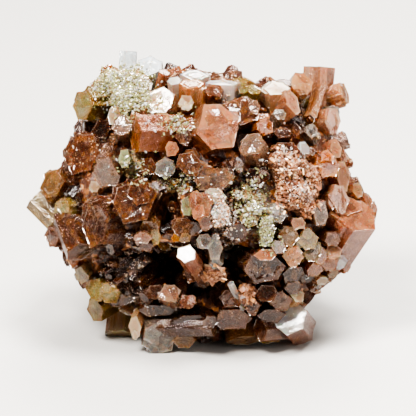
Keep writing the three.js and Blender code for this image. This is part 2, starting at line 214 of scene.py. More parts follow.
# The front, from the top left to the lower right: place, rise, yaw, pitch, width, height, length,
# turn, tone and tip of each crystal.
FRONT_ROWS = (
    # top left
    (107, 69, -4, -20, 25, 18, 17, 34, 20, T.AMBER, H.SUNK),
    (97, 85, 0, -40, 25, 19, 18, 34, 5, T.PINK),
    (84, 106, 4, -50, 0, 33, 31, 44, 0, T.OLIVE, H.DOME),
    (87, 91, -4, -55, 25, 15, 14, 30, 12, T.OLIVE),
    (128, 51, -6, 70, 84, 20, 20, 48, 8, T.CLEAR, H.STEP),
    (150, 67, 0, 4, 22, 29, 29, 44, 30, T.CLEAR, H.DOME),
    (165, 74, -10, 20, 35, 12, 11, 34, 0, T.PINK),
    (175, 83, -4, -8, 32, 15, 16, 34, 10, T.WHITE),
    (115, 88, -2, -10, 10, 14, 14, 34, 0, T.GREY),
    (146, 88, 4, 18, 22, 17, 15, 34, 18, T.CLEAR),
    (132, 92, 4, 0, -8, 11, 15, 34, 0, T.TAN),
    (142, 101, 2, 8, 0, 14, 13, 34, 25, T.GREEN),
    (122, 100, -2, -10, 0, 14, 14, 34, 10, T.GREEN),
    (114, 118, 0, -28, 0, 13, 20, 34, 0, T.CREAM),
    (124, 127, 2, -10, 8, 24, 26, 44, 20, T.LILAC, H.SUNK),
    (103, 131, -22, -20, 0, 24, 24, 36, 0, T.BROWN),
    (130, 107, 0, -18, 8, 16, 16, 34, 0, T.AMBER),
    (141, 114, 4, -18, 14, 18, 16, 36, 22, T.RUSSET),
    # top, middle
    # This white tip faces up into the light from above: its white is partly its own pale colour and
    # partly painted light on the lit top.
    (195, 77, -10, 5, 66, 27, 24, 34, 0, T.WHITE, H.STEP),
    (161, 102, 6, -5, 12, 34, 27, 44, 15, T.CREAM, H.DOME),
    (186, 105, 8, 10, 6, 16, 16, 36, 0, T.CREAM, H.SUNK),
    (193, 86, 2, 4, 56, 26, 24, 36, 10, T.PEACH, H.STEP),
    (214, 93, -2, 12, 40, 19, 19, 36, 0, T.RUSSET),
    # This white tip faces up into the light from above: its white is partly its own pale colour and
    # partly painted light on the lit top.
    (222, 85, -12, 10, 66, 37, 26, 44, 10, T.WHITE, H.DOME),
    (137, 136, 4, -76, -5, 42, 42, 56, 2, T.AMBER),
    (160, 122, 4, -30, 30, 26, 22, 40, 0, T.PEACH),
    (184, 138, 10, 5, -5, 18, 18, 40, 0, T.MAUVE, H.DOME),
    (218, 130, 12, 8, -2, 46, 50, 56, 10, T.CORAL, H.STEP),
    (240, 113, 5, 14, 9, 37, 34, 50, 25, T.RUSSET, H.DOME),
    (253, 110, 9, 18, 5, 12, 18, 36, 0, T.LILAC),
    (253, 92, -6, 10, 30, 15, 15, 36, 12, T.OLIVE),
    (243, 92, -10, -20, 32, 12, 11, 34, 0, T.OLIVE),
    (275, 90, -4, 0, 48, 27, 27, 44, 0, T.CREAM, H.DOME),
    (291, 104, 0, 26, 20, 19, 29, 40, 15, T.PINK),
    (283, 84, -14, 10, 50, 18, 13, 36, 0, T.RUSSET),
    (251, 146, 12, -14, 14, 25, 29, 44, 0, T.LILAC, H.DOME),
    (264, 129, 4, 10, 0, 17, 20, 36, 20, T.AMBER),
    (278, 117, 2, 10, 18, 15, 14, 36, 0, T.GREY),
    (281, 135, 4, 0, 10, 18, 13, 36, 8, T.MAUVE),
    # top right
    (319, 67, -6, 60, 79, 31, 28, 40, 6, T.PINK, H.STEP),
    (300, 84, -2, 4, 12, 27, 26, 42, 0, T.PEACH),
    (345, 93, -2, 68, 9, 26, 25, 50, 2, T.PEACH, H.STEP),
    (310, 119, -52, -46, -58, 15, 14, 36, 0, T.PEACH),
    (332, 122, -22, 24, -5, 20, 31, 44, 0, T.PINK, H.DOME),
    (337, 113, -22, 58, 0, 12, 14, 34, 0, T.GREY),
    (303, 104, -48, 10, 0, 20, 24, 34, 0, T.RUSSET),
    (309, 133, 0, 0, 5, 16, 15, 34, 14, T.GREY, H.SUNK),
    (296, 124, -30, 0, 0, 18, 18, 34, 0, T.BROWN),
    # left
    (83, 156, -18, -18, 5, 43, 46, 52, 4, T.RUSSET, H.SUNK),
    (54, 184, -14, -24, 5, 36, 31, 50, 12, T.TAN, H.STEP),
    (58, 223, -40, 62, -50, 26, 24, 33, 0, T.STRAW, H.STEP),
    (64, 213, -8, -14, -5, 25, 27, 44, 20, T.OLIVE),
    (108, 174, -2, -8, -16, 29, 34, 52, 0, T.LILAC, H.DOME),
    (127, 160, 0, 0, 0, 13, 20, 34, 0, T.GREEN),
    (97, 187, -8, -10, 5, 13, 12, 34, 10, T.CREAM, H.SUNK),
    (98, 222, 2, -26, -6, 38, 50, 56, 10, T.RUSSET, H.SUNK),
    (104, 202, -4, -8, 20, 26, 17, 40, 0, T.RUSSET),
    (79, 202, -24, -20, 0, 20, 22, 34, 0, T.BROWN),
    # middle
    (137, 202, 8, -2, 4, 46, 46, 56, 12, T.MAUVE, H.SUNK),
    (150, 229, -4, 4, -18, 18, 22, 40, 0, T.TAN),
    (145, 237, 4, -5, -10, 18, 13, 40, 0, T.PINK, H.DOME),
    (157, 236, -4, 18, -10, 11, 19, 36, 8, T.OLIVE),
    (148, 246, 0, 4, -20, 15, 10, 34, 0, T.RUSSET),
    (166, 169, 0, 4, -3, 20, 22, 40, 22, T.GREY, H.DOME),
    (150, 168, -6, 0, 0, 20, 18, 34, 0, T.RUSSET),
    (191, 165, 4, 0, 0, 26, 27, 44, 10, T.RUSSET, H.DOME),
    (173, 151, 2, -5, 4, 15, 17, 34, 0, T.CORAL),
    (213, 180, 3, 2, -8, 41, 28, 50, 0, T.LILAC, H.DOME),
    (202, 205, 14, -5, 0, 25, 31, 50, 2, T.CORAL, H.SUNK),
    (187, 207, 8, -34, 0, 14, 20, 44, 10, T.GREEN),
    (214, 198, 9, 14, 18, 26, 18, 44, 0, T.CREAM, H.STEP),
    (221, 213, 9, 30, -4, 22, 27, 40, 12, T.WHITE, H.STEP),
    (206, 223, 9, 8, -10, 15, 15, 36, 0, T.CORAL),
    (183, 226, 4, -15, 0, 24, 19, 44, 6, T.RUSSET, H.DOME),
    (195, 228, 5, 10, -5, 15, 16, 40, 0, T.MAUVE),
    (177, 237, 2, -14, -4, 10, 10, 34, 0, T.HONEY),
    (186, 237, 7, 0, 0, 13, 12, 36, 15, T.TAN),
    (205, 240, 9, 4, -5, 18, 17, 40, 0, T.GREY, H.SUNK),
    # The tip of this crystal is painted white: painted highlight for the glare off its face.
    (187, 252, 16, -4, 20, 20, 20, 66, 20, T.BEACON),
    (215, 246, 4, 18, 0, 17, 27, 40, 0, T.GREY),
    (216, 263, 0, 10, -18, 15, 13, 36, 0, T.GREY),
    (228, 168, 0, 4, 0, 15, 14, 34, 0, T.MAUVE),
    (238, 168, 0, 10, 4, 11, 13, 34, 20, T.LILAC),
    (237, 195, 2, 10, 0, 10, 10, 34, 0, T.LILAC),
    (256, 178, -6, 8, 0, 25, 24, 36, 0, T.BROWN),
    (265, 231, 5, 10, -9, 17, 33, 40, 0, T.GREEN, H.DOME),
    (256, 208, 8, -4, 18, 11, 12, 36, 10, T.WHITE),
    (275, 213, 4, 10, 0, 21, 21, 40, 0, T.GREY, H.DOME),
    (248, 218, 2, 0, 0, 21, 21, 40, 16, T.SAGE),
    (239, 214, -4, -10, 0, 17, 25, 36, 0, T.MAUVE),
    (236, 231, -4, -5, -24, 27, 20, 40, 5, T.MAUVE),
    # right
    (284, 151, 0, 0, 5, 29, 17, 40, 0, T.MAUVE),
    # This white crystal is partly a pale patch of its own colour and partly a painted highlight for
    # a glint.
    (302, 150, 1, 14, 24, 13, 17, 36, 0, T.WHITE),
    (303, 168, 2, 10, 10, 12, 15, 36, 12, T.LILAC),
    (325, 166, -4, 15, 5, 29, 29, 46, 8, T.AMBER, H.DOME),
    (334, 149, -14, 24, 10, 15, 22, 38, 0, T.PINK),
    (342, 157, -24, 50, 0, 13, 17, 36, 0, T.PINK),
    (341, 178, -12, 42, 8, 16, 34, 44, 0, T.PINK),
    (337, 199, 0, 20, 0, 22, 32, 44, 6, T.PINK, H.DOME),
    (356, 190, -14, 24, 14, 16, 17, 40, 14, T.PEACH),
    (352, 214, 6, 12, 36, 54, 42, 66, 4, T.CORAL, H.FLAT),
    (367, 200, -12, 38, 24, 15, 14, 34, 0, T.CORAL),
    (373, 208, -10, 55, 8, 13, 15, 34, 12, T.CORAL),
    (330, 239, 2, 4, -10, 18, 18, 36, 0, T.RUSSET),
    (318, 214, 4, 14, 0, 18, 28, 40, 0, T.LILAC, H.DOME),
    (296, 223, 3, 4, 0, 15, 15, 36, 10, T.PINK),
    (286, 236, 0, 0, -5, 23, 23, 40, 0, T.TAN, H.DOME),
    (305, 239, 4, 5, 0, 24, 23, 40, 20, T.SAGE),
    (310, 251, 4, 5, 0, 19, 21, 38, 0, T.SAGE, H.DOME),
    (331, 250, 0, 10, 18, 19, 16, 36, 0, T.PINK, H.STEP),
    (338, 261, -4, 20, 8, 17, 17, 38, 10, T.WHITE, H.STEP),
    (346, 266, -16, 38, -12, 13, 14, 34, 0, T.AMBER),
    (328, 262, -2, 5, -10, 20, 20, 36, 18, T.CORAL),
    (318, 256, -4, 0, -5, 17, 17, 34, 0, T.AMBER),
    # lower left
    (54, 236, -8, -24, -8, 22, 22, 44, 0, T.RUSSET, H.DOME),
    (83, 251, 0, 28, -44, 31, 29, 48, 0, T.RUSSET),
    (84, 275, -14, -20, -14, 18, 21, 36, 10, T.SAGE),
    (97, 288, -8, -14, 0, 20, 23, 40, 0, T.OLIVE),
    (111, 292, -10, -5, 8, 22, 22, 40, 12, T.OLIVE),
    (96, 309, -4, -24, -5, 20, 27, 42, 0, T.OLIVE, H.DOME),
    # CREAM makes this crystal paler than its own tone, to brighten a side that lies in shade:
    # painted light.
    (122, 337, 6, -8, -66, 35, 33, 46, 4, T.CREAM),
    (136, 326, 8, 4, -10, 14, 27, 44, 0, T.CREAM),
    (160, 338, 10, 8, -12, 33, 35, 46, 18, T.GREY, H.STEP),
    (127, 284, -30, 4, -10, 42, 50, 44, 28, T.BROWN),
    # lower middle
    (156, 290, -16, -10, 24, 20, 16, 40, 0, T.MAUVE),
    (171, 291, -14, 5, 20, 22, 20, 40, 10, T.PINK),
    (188, 299, -14, 10, 10, 18, 14, 40, 0, T.CORAL),
    (160, 309, -22, 0, -5, 40, 14, 40, 0, T.BROWN),
    (184, 338, 2, 5, -18, 25, 24, 40, 0, T.TAN, H.STEP),
    (214, 325, 0, 70, -2, 19, 19, 58, 4, T.RUSSET),
    (192, 320, -8, 0, 0, 44, 16, 40, 0, T.BROWN),
    (231, 297, -10, -10, 8, 25, 19, 40, 0, T.RUSSET),
    (230, 281, -12, -28, 56, 7, 7, 34, 0, T.WHITE),
    (232, 317, -8, 0, -10, 38, 27, 44, 8, T.RUSSET),
    (245, 339, -2, 4, -66, 34, 22, 36, 0, T.TAN),
    (210, 319, 0, 10, 0, 16, 14, 34, 0, T.BROWN),
    # lower right
    # BROWN makes this crystal darker than its neighbours for the shade under the overhang above it:
    # painted shade.
    (263, 267, 2, 6, -2, 41, 36, 50, 10, T.BROWN, H.SUNK),
    (264, 253, 5, 0, 10, 24, 12, 36, 0, T.CORAL),
    (276, 246, 4, 10, 8, 17, 15, 36, 0, T.LILAC),
    (291, 256, 5, 8, -5, 22, 20, 40, 4, T.PEACH, H.DOME),
    (291, 273, -2, 10, -8, 24, 20, 40, 0, T.BROWN),
    (291, 286, -4, 10, -10, 20, 15, 36, 12, T.RUSSET),
    (305, 274, -14, 12, -8, 20, 18, 34, 0, T.BROWN),
    (313, 269, -6, 18, -8, 21, 17, 36, 0, T.CORAL),
    (321, 280, -10, 22, -18, 17, 11, 34, 0, T.CREAM),
    (331, 273, -12, 28, -14, 13, 13, 34, 0, T.TAN),
    (265, 292, 1, 0, 0, 22, 19, 38, 0, T.MAUVE),
    (279, 299, 1, 8, -8, 24, 22, 40, 14, T.RUSSET, H.DOME),
    (251, 305, 0, -5, -5, 16, 20, 36, 0, T.RUSSET),
    (270, 314, -4, 5, -5, 28, 16, 38, 0, T.RUSSET),
    (259, 328, 2, -44, -8, 25, 23, 44, 0, T.RUSSET),
    (269, 335, 4, -8, -32, 26, 22, 44, 10, T.HONEY),
    # The tip of this crystal is painted white: painted highlight for the glare off its face.
    (289, 316, 6, -25, 39, 36, 36, 48, 14, T.BEACON),
    (296, 294, 0, 10, 28, 15, 13, 34, 0, T.CREAM),
)
FRONT = [Crystal(*row) for row in FRONT_ROWS]


class Lump(NamedTuple):
    """A rounded rise of the mass: its middle, its rise and its half sizes."""

    x: float
    y: float
    rise: float
    rx: float
    ry: float
    rz: float

    def middle(self) -> Vector:
        """Give its middle, measured from the middle of the cluster."""
        return Vector((self.x - CENTRE_X, CENTRE_Y - self.y, front(self.x, self.y) + self.rise))

    def at(self, angle: float, far: float, wide: float = 1, tall: float = 1) -> Tuple[float, float]:
        """Give the column and row at an angle, a share of its stretched half sizes away."""
        column = self.x + wide * self.rx * far * math.cos(angle)
        return column, self.y + tall * self.ry * far * math.sin(angle)


HOLLOWS = [
    (Lump(166, 262, -30, 70, 21, 62), -6.0),
    (Lump(232, 258, -24, 13, 22, 50), 0.0),
    (Lump(186, 310, -22, 30, 6, 40), 0.0),
    (Lump(173, 214, -14, 9, 26, 34), 0.0),
]


class Patch(NamedTuple):
    """A patch of small upright crystals: where, how many, and in which tones."""

    lump: Lump
    count: int
    tones: Tuple[Tone, ...]


LEEK = (T.GREEN, T.GREEN, T.CLEAR, T.GREEN, T.SAGE)
SUGAR = (T.WHITE, T.CREAM, T.WHITE, T.PINK)
EARTH = (T.PINK, T.RUSSET, T.MAUVE, T.BROWN, T.CREAM)
CRUMB_TONES = (T.CREAM, T.PEACH, T.PINK, T.WHITE, T.TAN)
RUBBLE = (T.CLAY, T.LILAC, T.RUSSET, T.TAN, T.MAUVE, T.LILAC, T.BROWN, T.CREAM)

DRUSE_PATCHES = [
    Patch(Lump(116, 84, -26, 19, 16, 30), 1000, LEEK),
    Patch(Lump(136, 86, -24, 17, 16, 30), 800, LEEK),
    Patch(Lump(130, 101, -24, 20, 16, 32), 800, LEEK),
    Patch(Lump(248, 200, -27, 18, 22, 20), 520, LEEK),
    Patch(Lump(136, 168, -34, 14, 16, 20), 160, LEEK),
    Patch(Lump(180, 126, -31, 16, 13, 20), 160, LEEK),
    Patch(Lump(178, 184, -34, 20, 10, 20), 180, LEEK),
    Patch(Lump(224, 216, -26, 10, 20, 20), 420, SUGAR),
    Patch(Lump(286, 160, -24, 16, 9, 20), 110, SUGAR),
    Patch(Lump(302, 192, -24, 12, 14, 20), 120, SUGAR),
    Patch(Lump(288, 184, -24, 24, 26, 22), 260, EARTH),
    Patch(Lump(265, 229, -24, 9, 17, 20), 340, LEEK),
]

LEEK_MOUNDS = 7  # how many of them, from the first, sit on a mound of their own

CRUST_PATCHES = [
    Lump(285, 172, -16, 18, 18, 22),
    Lump(290, 195, -14, 20, 18, 22),
    Lump(303, 207, -16, 13, 14, 22),
    Lump(276, 163, -16, 11, 12, 22),
    Lump(308, 183, -20, 12, 20, 22),
    Lump(213, 272, -18, 14, 9, 20),
    Lump(246, 292, -18, 10, 12, 20),
]


@dataclass
class Mould:
    """A mesh in the making, with the layers that every crystal finish reads."""

    bm: bmesh.types.BMesh = field(default_factory=bmesh.new)

    def __post_init__(self) -> None:
        """Add the layers."""
        verts = self.bm.verts.layers
        self.body = verts.float_color.new("body")
        self.rim = verts.float_color.new("rim")
        self.middle = verts.float_color.new("middle")
        self.edge = verts.float.new("edge")
        self.run = verts.float.new("run")
        self.cap = self.bm.faces.layers.float.new("cap")
        self.grow = self.bm.loops.layers.uv.new("grow")

    def coats(self, palette: Palette) -> List[Tuple[object, Tuple[float, float, float]]]:
        """Pair the three colour layers with a palette's linear colours."""
        colours = (srgb(text) for text in (palette.body, palette.rim, palette.middle))
        return list(zip((self.body, self.rim, self.middle), colours))

    def absorb(self, other: "Mould") -> None:
        """Add another mould's mesh to this one and free it.

        Args:
            other: the mould to take in.
        """
        mesh = bpy.data.meshes.new("passing")
        other.bm.to_mesh(mesh)
        other.bm.free()
        self.bm.from_mesh(mesh)
        bpy.data.meshes.remove(mesh)


@dataclass
class PrismShape:
    """Builds one prism in sheet space from its layout row."""

    key: float
    x: float
    y: float
    z: float
    yaw: float
    pitch: float
    wide: float
    tall: float
    length: float
    turn: float
    palette: Palette
    habit: Habit

    SIDES = 6
    CORNER_SWING = 12.0  # degrees that a corner may sit off its even place
    CORNER_REACH = 0.09  # share that a corner may sit nearer or further
    GROOVE, GROOVE_MOST = 0.035, 0.9  # depth of the grooves: share of the size, and the most
    BEVEL, BEVEL_MOST = 0.035, 0.8  # width of the worn rim: share of the size, and the most
    RIM = 0.09  # width of the pale rim, as a share of the size
    WALL = 0.02  # width of a terrace's wall
    TERRACE, TERRACE_ASIDE = 0.035, 0.16  # how high a terrace stands and how far it may sit aside
    PEAK_ASIDE = 0.12  # how far the tip's middle may sit aside
    PEAKS = {Habit.DOME: 0.04, Habit.SUNK: -0.015, Habit.STEP: 0.01, Habit.FLAT: 0.006}
    LIGHT, WARM = 0.16, 0.08  # spread of lightness and warmth from prism to prism

    def corners(self) -> List[Vector]:
        """Lay out the six uneven corners of the tip.

        Returns:
            The corners around the axis, in grid steps.
        """
        out = []
        for k in range(self.SIDES):
            angle = math.radians(self.turn + 60 * k + self.CORNER_SWING * scatter(self.key, k))
            reach = 1 + self.CORNER_REACH * scatter(self.key, k + 11)
            across = 0.5 * self.wide * reach * math.cos(angle)
            along = 0.5 * self.tall * reach * math.sin(angle)
            out.append(Vector((across, along, 0)))
        return out

    def profile(self, parts: int) -> List[Vector]:
        """Cut each side into strips that step in and out, as twinned growth does.

        Args:
            parts: strips to a side.

        Returns:
            The points around the axis.
        """
        corners = self.corners()
        groove = min(self.GROOVE_MOST, self.GROOVE * min(self.wide, self.tall))
        points = []
        for k in range(self.SIDES):
            a, b = corners[k], corners[(k + 1) % self.SIDES]
            inward = -(a + b).normalized()
            for j in range(parts):
                t = j / parts
                if j:
                    t += 0.28 / parts * scatter(self.key, 40 + 7 * k + j)
                dip = 0.0 if j == 0 else groove * (0.5 + 0.5 * scatter(self.key, 90 + 5 * k + j))
                points.append(a.lerp(b, t) + inward * dip)
        return points

    def build(self) -> Mould:
        """Make the prism.

        Returns:
            A mould that holds it, with its colours and growth values set.
        """
        mould = Mould()
        bm = mould.bm
        size = min(self.wide, self.tall)
        parts = 4 if size > 22 else 3 if size > 14 else 2
        made = bmesh.ops.create_circle(bm, cap_ends=True, segments=self.SIDES * parts, radius=1.0)
        for vert, point in zip(made["verts"], self.profile(parts)):
            vert.co = point
        tip = bm.faces[:][0]
        tip.normal_update()
        if tip.normal.z < 0:
            tip.normal_flip()
        pushed = bmesh.ops.extrude_face_region(bm, geom=[tip])
        foot = [g for g in pushed["geom"] if isinstance(g, bmesh.types.BMVert)]
        bmesh.ops.translate(bm, verts=foot, vec=(0, 0, -self.length))
        bmesh.ops.recalc_face_normals(bm, faces=bm.faces[:])
        tip = max(bm.faces, key=lambda f: f.calc_center_median().z)
        self._mark_sides(mould, tip)
        self._shape_tip(mould, tip, size)
        self._paint(mould)
        turn = (
            Matrix.Translation((self.x - CENTRE_X, CENTRE_Y - self.y, self.z))
            @ Matrix.Rotation(math.radians(self.yaw), 4, "Y")
            @ Matrix.Rotation(math.radians(-self.pitch), 4, "X")
        )
        bm.transform(turn)
        return mould

    def _mark_sides(self, mould: Mould, tip: bmesh.types.BMFace) -> None:
        """Unroll the sides and note how far each of their points is from the tip.

        Args:
            mould: the prism.
            tip: its tip face.
        """
        offset = 40 * scatter(self.key, 31)
        for face in mould.bm.faces:
            if face is tip:
                continue
            for loop in face.loops:
                co = loop.vert.co
                around = math.atan2(co.y, co.x) * 0.25 * (self.wide + self.tall)
                loop[mould.grow].uv = (around + offset, co.z * 0.1)
        for vert in mould.bm.verts:
            vert[mould.run] = -vert.co.z
            vert[mould.edge] = 1.0

    def _shape_tip(self, mould: Mould, tip: bmesh.types.BMFace, size: float) -> None:
        """Wear the edge of the tip and raise or sink its middle.

        Args:
            mould: the prism.
            tip: its tip face.
            size: the smaller of its width and height.
        """
        bm = mould.bm
        bevel = min(self.BEVEL_MOST, self.BEVEL * size)
        outer = list(tip.verts)
        ring = bmesh.ops.inset_region(
            bm, faces=[tip], thickness=bevel, depth=0.0, use_even_offset=True
        )
        caps = list(ring["faces"])
        for vert in outer:
            vert.co.z -= bevel * 0.8
            vert[mould.run] = bevel
        for vert in tip.verts:
            vert[mould.edge] = 0.93
            vert[mould.run] = 0.0
        inner = bmesh.ops.inset_region(
            bm, faces=[tip], thickness=self.RIM * size, depth=0.0, use_even_offset=False
        )
        caps += list(inner["faces"])
        for vert in tip.verts:
            vert[mould.edge] = 0.72
        if self.habit in (Habit.STEP, Habit.SUNK):
            wall = bmesh.ops.inset_region(bm, faces=[tip], thickness=self.WALL * size, depth=0.0)
            caps += list(wall["faces"])
            self._terrace(mould, tip, size)
        fan = bmesh.ops.poke(bm, faces=[tip])
        caps += list(fan["faces"])
        for vert in fan["verts"]:
            vert.co.x += self.PEAK_ASIDE * size * scatter(self.key, 71)
            vert.co.y += self.PEAK_ASIDE * size * scatter(self.key, 72)
            vert.co.z += self.PEAKS[self.habit] * size
            vert[mould.edge] = 0.0
            vert[mould.run] = 0.0
        offset = Vector((30 * scatter(self.key, 33), 30 * scatter(self.key, 34)))
        for face in caps:
            face[mould.cap] = 1.0
            for loop in face.loops:
                loop[mould.grow].uv = loop.vert.co.xy + offset

    def _terrace(self, mould: Mould, tip: bmesh.types.BMFace, size: float) -> None:
        """Raise or sink a ragged terrace in the tip.

        Args:
            mould: the prism.
            tip: the face that moves.
            size: the smaller of its width and height.
        """
        lift = self.TERRACE * size * (1 if self.habit is Habit.STEP else -0.6)
        across, along = (self.TERRACE_ASIDE * size * scatter(self.key, salt) for salt in (64, 65))
        aside = Vector((across, along, 0))
        shrink = 0.78 + 0.14 * scatter(self.key, 66)
        middle = tip.calc_center_median()
        for index, vert in enumerate(tip.verts):
            ragged = shrink + 0.07 * scatter(self.key, 100 + index)
            vert.co = middle + (vert.co - middle) * ragged + aside * 0.5
            vert.co.z += lift
            vert[mould.edge] = 0.6

    def _paint(self, mould: Mould) -> None:
        """Give the prism its palette, a little lighter or warmer than its neighbours.

        Args:
            mould: the prism.
        """
        light = 1 + self.LIGHT * scatter(self.key, 51)
        warm = 1 + self.WARM * scatter(self.key, 52)
        for layer, (red, green, blue) in mould.coats(self.palette):
            mixed = (red * light * warm, green * light, blue * light / warm)
            for vert in mould.bm.verts:
                vert[layer] = (*(min(1, value) for value in mixed), 1.0)


class Shapes:
    """Turns the layout into prism shapes."""

    GROWN_SIZES = (13, 20, 34)  # sizes from which a prism has one, two and three companions
    BESIDE = 0.27  # how far beside it they stand, as a share of its width and height
    GAP_REACH = (0.12, 0.87)  # shares of the form's reach between which a gap counts as deep
    GAP_TONES = (T.RUSSET, T.CORAL, T.MAUVE, T.AMBER, T.LILAC, T.BROWN)
    # The prisms deep in the hollow take the darkest tones: painted shade for the recess.
    HOLLOW_SHADE_TONES = (T.BROWN, T.MAUVE, T.BROWN, T.RUSSET)
    HOLLOW_DEPTH = 22  # grid steps below the front where the hollow's own prisms start
    HOLLOW_STRETCH = (0.9, 1.6)  # how far across and up they are looked for, in its half sizes
    GAP_SIZES, HOLLOW_SIZES = (8, 20), (7, 15)  # their widths
    GAP_RISE, GAP_LENGTH = (3, 11), 30  # how far their tips stand out, and their length
    APART = 0.62  # how near two may stand, as a share of the width
    WANDER = 0.38  # how far they lean off the way out
    SAME_TONE = 0.6  # how many take the tone of the nearest front crystal
    SPIRAL_SIZE, SPIRAL_SPREAD, SPIRAL_LENGTH = 42, 13, 46  # widths and length on the spiral
    SPIRAL_INSET = 6  # how far inside the front's reach the spiral stays
    SPIRAL_KEY, GAP_KEY = 400, 3000.5  # where the keys of both start
    SPIRAL_TONES = (
        T.RUSSET, T.CORAL, T.AMBER, T.PINK, T.MAUVE, T.RUSSET,
        T.TAN, T.PEACH, T.LILAC, T.CORAL, T.OLIVE,
    )

    @staticmethod
    def companions(shape: PrismShape) -> List[PrismShape]:
        """Set smaller prisms beside one on the same axis, as parallel growth does.

        Args:
            shape: the main prism.

        Returns:
            Its companions.
        """
        size = min(shape.wide, shape.tall)
        if shape.palette in [tone.value for tone in PALE]:
            return []
        count = sum(size >= grown for grown in Shapes.GROWN_SIZES)
        out = []
        yaw, pitch = math.radians(shape.yaw), math.radians(shape.pitch)
        frame_turn = Matrix.Rotation(yaw, 3, "Y") @ Matrix.Rotation(-pitch, 3, "X")
        for k in range(count):
            key = shape.key + 1000 * (k + 1)
            angle = 2.4 * k + 3.14 * scatter(key, 1)
            share = 0.56 + 0.14 * scatter(key, 2)
            across = Shapes.BESIDE * shape.wide * math.cos(angle)
            along = Shapes.BESIDE * shape.tall * math.sin(angle)
            aside = frame_turn @ Vector((across, along, size * (-0.05 + 0.07 * scatter(key, 3))))
            companion = replace(shape, key=key, wide=shape.wide * share, tall=shape.tall * share)
            companion.x += aside.x
            companion.y -= aside.y
            companion.z += aside.z
            companion.yaw += 3 * scatter(key, 4)
            companion.pitch += 3 * scatter(key, 5)
            companion.turn += 20 * scatter(key, 6)
            out.append(companion)
        return out

    @staticmethod
    def infill(surface: "Surface", tries: int, seed: int) -> List[PrismShape]:
        """Set small prisms into the deep gaps, on every side.

        Args:
            surface: the prisms and the mass so far.
            tries: how many places to try.
            seed: seed of the places.

        Returns:
            Their shapes.
        """
        rng = random.Random(seed)
        kept: List[Vector] = []
        out = []
        low, high = Shapes.GAP_REACH
        hollow = HOLLOWS[0][0]
        for k in range(tries):
            inside = k % 4 == 0
            if inside:
                angle, far = rng.uniform(0, 2 * math.pi), math.sqrt(rng.random())
                hit = surface.seen_from_sheet(*hollow.at(angle, far, *Shapes.HOLLOW_STRETCH))
                found = None if hit is None else (*hit, 0.5)
            else:
                found = surface.seen_from_outside(rng)
            if found is None or not low < found[2] < high:
                continue
            spot = TO_SHEET @ found[0]
            above = front(spot.x + CENTRE_X, CENTRE_Y - spot.y)
            if inside and spot.z > above - Shapes.HOLLOW_DEPTH:
                continue
            size = rng.uniform(*(Shapes.HOLLOW_SIZES if inside else Shapes.GAP_SIZES))
            if any((spot - other).length < Shapes.APART * size for other in kept):
                continue
            kept.append(spot)
            way = (spot.normalized() + Shapes.WANDER * drift(rng)).normalized()
            tip = spot + way * rng.uniform(*Shapes.GAP_RISE)
            tone = rng.choice(Shapes.HOLLOW_SHADE_TONES if inside else Shapes.GAP_TONES)
            if not inside and spot.z > 0 and rng.random() < Shapes.SAME_TONE:
                tone = Shapes.tone_near(spot)
            place = (CENTRE_X + tip.x, CENTRE_Y - tip.y, tip.z)
            yaw = math.degrees(math.atan2(way.x, way.z))
            pitch = math.degrees(math.asin(max(-1.0, min(1.0, way.y))))
            sizes = (size, size * rng.uniform(0.75, 1.2), Shapes.GAP_LENGTH, rng.uniform(0, 60))
            kind = (tone.value, rng.choice(list(Habit)))
            out.append(PrismShape(Shapes.GAP_KEY + k, *place, yaw, pitch, *sizes, *kind))
        return out

    @staticmethod
    def tone_near(spot: Vector) -> Tone:
        """Find the tone of the front crystal nearest to a spot, with pale ones read as lilac."""
        nearest = min(
            FRONT,
            key=lambda row: (row.x - CENTRE_X - spot.x) ** 2 + (CENTRE_Y - row.y - spot.y) ** 2,
        )
        return T.LILAC if nearest.tone in PALE else nearest.tone

    @staticmethod
    def on_front(row: Crystal) -> PrismShape:
        """Place one front crystal.

        Args:
            row: its layout.

        Returns:
            Its shape.
        """
        fan = FAN if abs(row.yaw) < FAN_LIMIT and abs(row.pitch) < FAN_LIMIT else 0.0
        key = row.x + 0.7 * row.y
        place = (row.x, row.y, front(row.x, row.y) + row.rise)
        yaw = row.yaw + fan * (row.x - CENTRE_X) / REACH_X + SWAY * scatter(key, 21)
        pitch = row.pitch + fan * (CENTRE_Y - row.y) / REACH_Y + SWAY * scatter(key, 22)
        sizes = (row.wide, row.tall, row.length, row.turn)
        return PrismShape(key, *place, yaw, pitch, *sizes, row.tone.value, row.habit)

    @staticmethod
    def on_spiral() -> List[PrismShape]:
        """Set out the crystals of the sides, back, top and bottom along a spiral.

        Returns:
            Their shapes.
        """
        tones, habits = Shapes.SPIRAL_TONES, list(Habit)
        out = []
        for k in range(SPIRAL_COUNT):
            depth = 1 - (2 * (k + 0.5)) / SPIRAL_COUNT
            ring = math.sqrt(1 - depth * depth)
            angle = k * SPIRAL_TURN
            across, along = ring * math.cos(angle), ring * math.sin(angle)
            if depth > (0.5 if along > 0.7 else 0.16):
                continue
            rise = (0.94 + 0.05 * scatter(k, 3)) * (0.97 if along < -0.62 else 1.0)
            rise *= SET_IN.get(k, 1.0)
            size = Shapes.SPIRAL_SIZE + Shapes.SPIRAL_SPREAD * scatter(k, 9)
            place = (
                CENTRE_X + (REACH_X - Shapes.SPIRAL_INSET) * across * rise,
                CENTRE_Y - (REACH_Y - Shapes.SPIRAL_INSET) * along * rise,
                (REACH_FRONT if depth > 0 else REACH_BACK) * depth * rise,
            )
            yaw = math.degrees(math.atan2(across, depth)) + 22 * scatter(k, 5)
            pitch = math.degrees(math.asin(along)) + 20 * scatter(k, 7)
            tall, turn = size * (1 + 0.12 * scatter(k, 13)), 30 * scatter(k, 15)
            sizes = (size, tall, Shapes.SPIRAL_LENGTH, turn)
            kind = (tones[k * 7 % len(tones)].value, habits[k * 3 % len(habits)])
            out.append(PrismShape(Shapes.SPIRAL_KEY + k, *place, yaw, pitch, *sizes, *kind))
        return out


